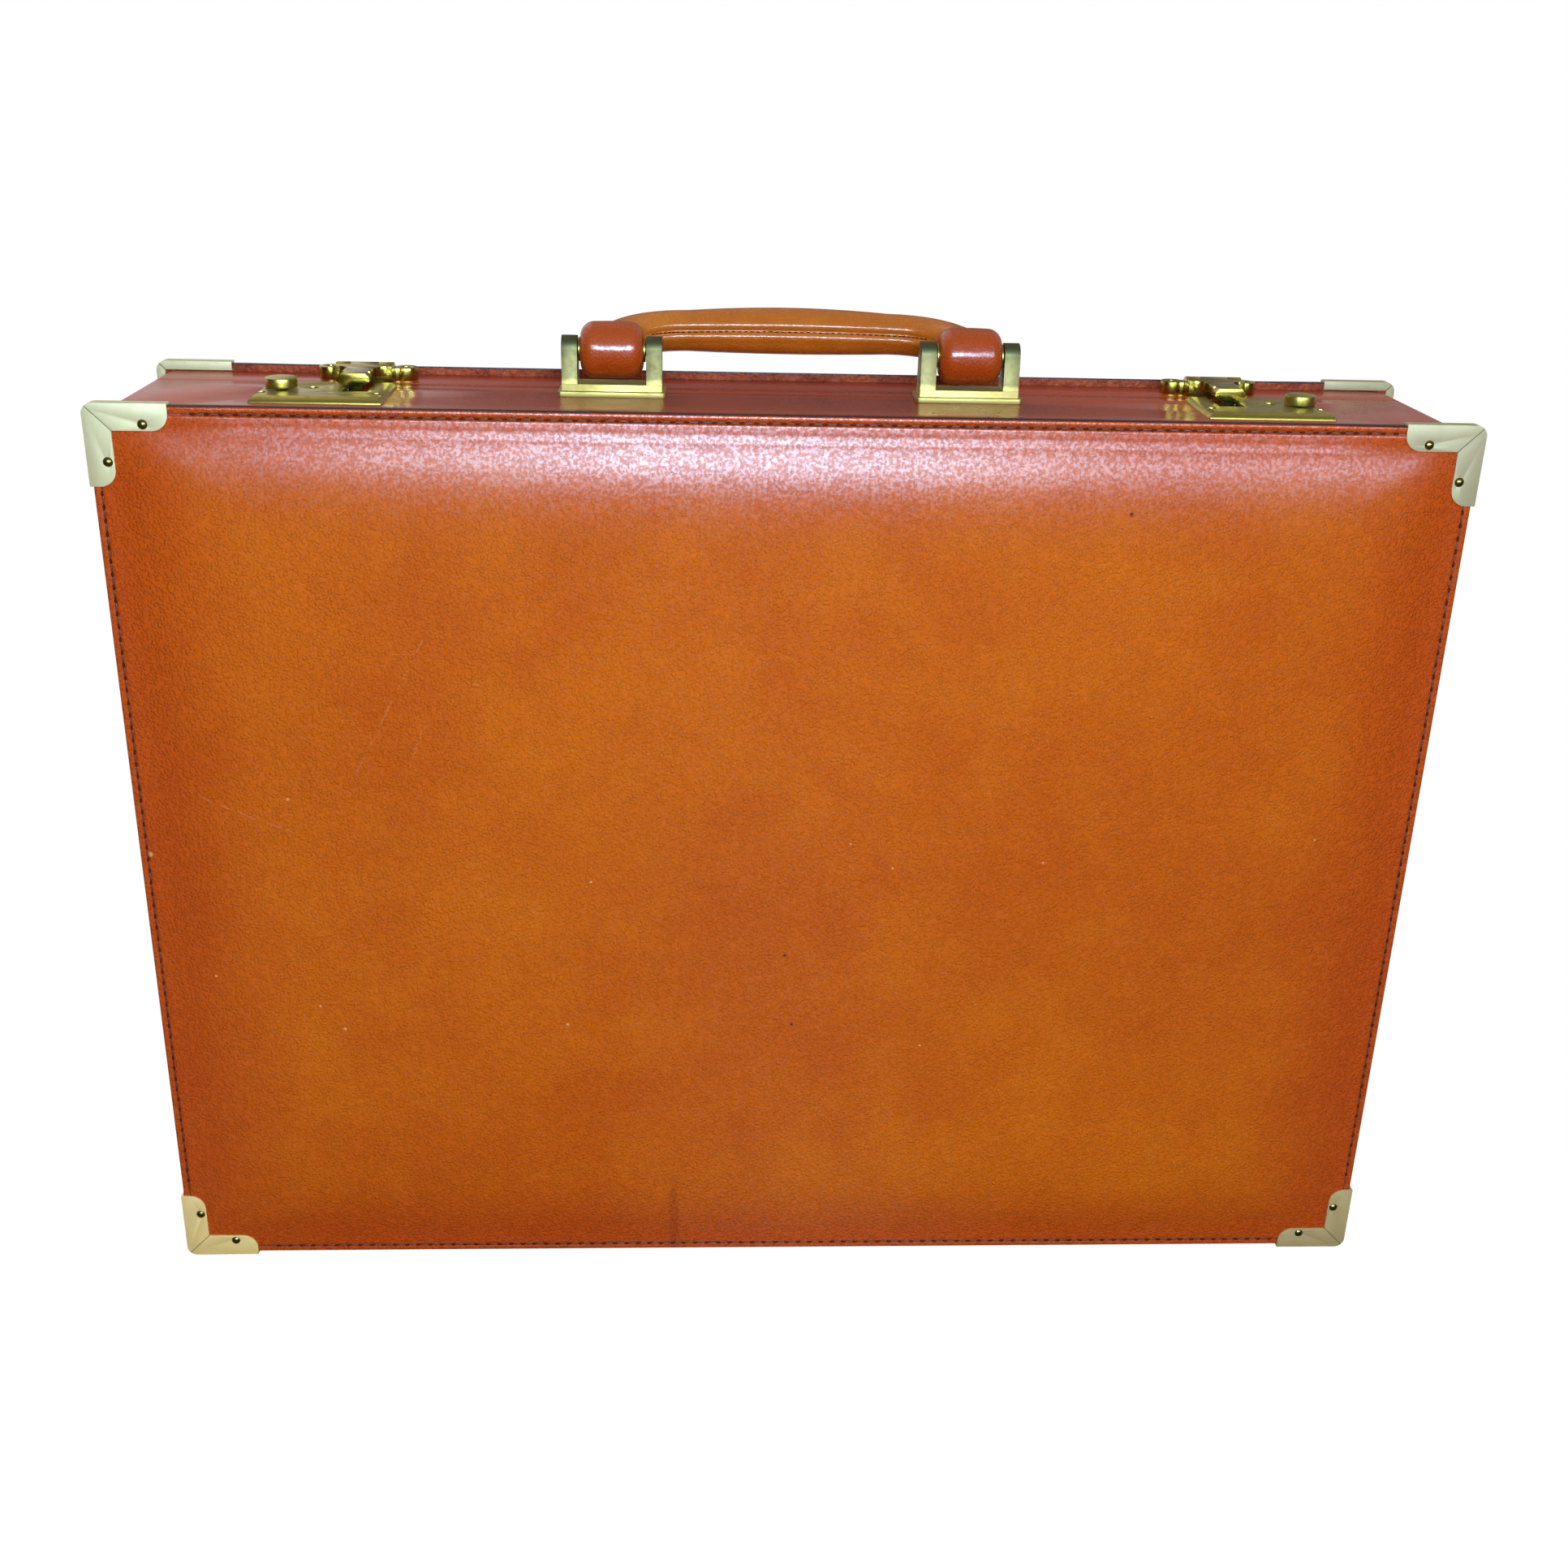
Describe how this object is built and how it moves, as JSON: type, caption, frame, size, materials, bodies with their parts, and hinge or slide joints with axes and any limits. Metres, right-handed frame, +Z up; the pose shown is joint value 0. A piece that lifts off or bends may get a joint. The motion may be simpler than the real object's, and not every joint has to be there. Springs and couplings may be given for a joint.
{
  "type": "briefcase",
  "caption": "Hard-sided leather briefcase with a hinged lid, brass corner caps, sliding-button latches, folding lid stays and a padded handle that folds over on brackets.",
  "frame": {"origin": "bottom centre of the closed case as it stands on its hinge side", "axes": "+X along the case's width, +Y from the base's outer panel to the lid's outer panel, +Z up to the handle"},
  "size_m": [0.4514, 0.096, 0.3474],
  "materials": {
    "panel_leather": "smooth, waxed, satin",
    "wall_leather": "smooth, glossy",
    "handle_leather": "glossy, wrinkled",
    "rim_leather": "smooth",
    "folder_leather": "smooth",
    "padding": "felt",
    "lining": "brushed",
    "wood": "plywood",
    "corner_brass": "satin, pale",
    "nail_brass": "aged",
    "latch_brass": "polished",
    "bracket_brass": "antique",
    "hinge_brass": "satin",
    "dark_screw": "browned",
    "steel": "plated"
  },
  "bodies": {
    "base": {"base_panel_leather": "panel_leather", "base_panel_padding": "padding", "base_panel_board": "wood", "base_frame": "wood", "base_wall_leather": "wall_leather", "base_lining": "lining", "base_rim": "rim_leather", "base_corner_top_left": "corner_brass", "base_corner_top_right": "corner_brass", "base_corner_bottom_left": "corner_brass", "base_corner_bottom_right": "corner_brass", "base_corner_nails": "nail_brass", "lock_plate_left": "latch_brass", "lock_plate_right": "latch_brass", "lock_case_left": "steel", "lock_case_right": "steel", "lock_screws": "dark_screw", "handle_bracket_left": "bracket_brass", "handle_bracket_right": "bracket_brass", "handle_pins": "bracket_brass", "bracket_backing_plates": "steel", "bracket_nuts": "steel", "hinge_leaf_base": "hinge_brass", "hinge_pin": "steel", "hinge_rivets_base": "hinge_brass", "base_stay_studs": "steel"},
    "lid": {"lid_panel_leather": "panel_leather", "lid_panel_padding": "padding", "lid_panel_board": "wood", "lid_frame": "wood", "lid_wall_leather": "wall_leather", "lid_lining": "lining", "lid_corner_top_left": "corner_brass", "lid_corner_top_right": "corner_brass", "lid_corner_bottom_left": "corner_brass", "lid_corner_bottom_right": "corner_brass", "lid_corner_nails": "nail_brass", "hasp_mount_left": "latch_brass", "hasp_mount_right": "latch_brass", "hasp_mount_screws": "dark_screw", "hasp_pins": "latch_brass", "hinge_leaf_lid": "hinge_brass", "hinge_rivets_lid": "hinge_brass", "lid_stay_studs": "steel", "lid_folder": "folder_leather", "lid_pocket": "folder_leather", "pen_loops": "folder_leather"},
    "handle": {"handle_grip": "handle_leather", "handle_core": "steel", "handle_washers": "nail_brass"},
    "hasp_left": {"hasp_left": "latch_brass"},
    "hasp_right": {"hasp_right": "latch_brass"},
    "button_left": {"lock_button_left": "latch_brass", "lock_bolt_left": "steel"},
    "button_right": {"lock_button_right": "latch_brass", "lock_bolt_right": "steel"},
    "stay_lower_left": {"stay_lower_left": "steel"},
    "stay_lower_right": {"stay_lower_right": "steel"},
    "stay_upper_left": {"stay_upper_left": "steel"},
    "stay_upper_right": {"stay_upper_right": "steel"}
  },
  "joints": [
    {"name": "lid_hinge", "type": "hinge", "parent": "base", "child": "lid", "pos_m": [0, 0.02, 0.0019], "axis": [-1, 0, 0], "range_deg": [0, 95]},
    {"name": "handle_hinge", "type": "hinge", "parent": "base", "child": "handle", "pos_m": [0, 0.007, 0.3368], "axis": [1, 0, 0], "range_deg": [-18, 184]},
    {"name": "hasp_left_hinge", "type": "hinge", "parent": "lid", "child": "hasp_left", "pos_m": [-0.1486, 0.024, 0.3255], "axis": [-1, 0, 0], "range_deg": [0, 95]},
    {"name": "hasp_right_hinge", "type": "hinge", "parent": "lid", "child": "hasp_right", "pos_m": [0.1526, 0.024, 0.3255], "axis": [-1, 0, 0], "range_deg": [0, 95]},
    {"name": "button_left_slide", "type": "slide", "parent": "base", "child": "button_left", "axis": [-1, 0, 0], "range_m": [0, 0.003], "stiffness_N_per_m": 300},
    {"name": "button_right_slide", "type": "slide", "parent": "base", "child": "button_right", "axis": [1, 0, 0], "range_m": [0, 0.003], "stiffness_N_per_m": 300},
    {"name": "stay_lower_left_pivot", "type": "hinge", "parent": "base", "child": "stay_lower_left", "pos_m": [-0.21005, 0, 0.0599], "axis": [-1, 0, 0], "range_deg": [0, 95]},
    {"name": "stay_lower_right_pivot", "type": "hinge", "parent": "base", "child": "stay_lower_right", "pos_m": [0.21005, 0, 0.0599], "axis": [-1, 0, 0], "range_deg": [0, 95]},
    {"name": "stay_upper_left_pivot", "type": "hinge", "parent": "lid", "child": "stay_upper_left", "pos_m": [-0.20805, 0.0296, 0.1219], "axis": [-1, 0, 0], "range_deg": [-95, 0]},
    {"name": "stay_upper_right_pivot", "type": "hinge", "parent": "lid", "child": "stay_upper_right", "pos_m": [0.20805, 0.0296, 0.1219], "axis": [-1, 0, 0], "range_deg": [-95, 0]}
  ],
  "couplings": [
    {"joint": "stay_lower_left_pivot", "follows": "lid_hinge", "ratio": 1},
    {"joint": "stay_lower_right_pivot", "follows": "lid_hinge", "ratio": 1},
    {"joint": "stay_upper_left_pivot", "follows": "lid_hinge", "ratio": -1},
    {"joint": "stay_upper_right_pivot", "follows": "lid_hinge", "ratio": -1}
  ]
}
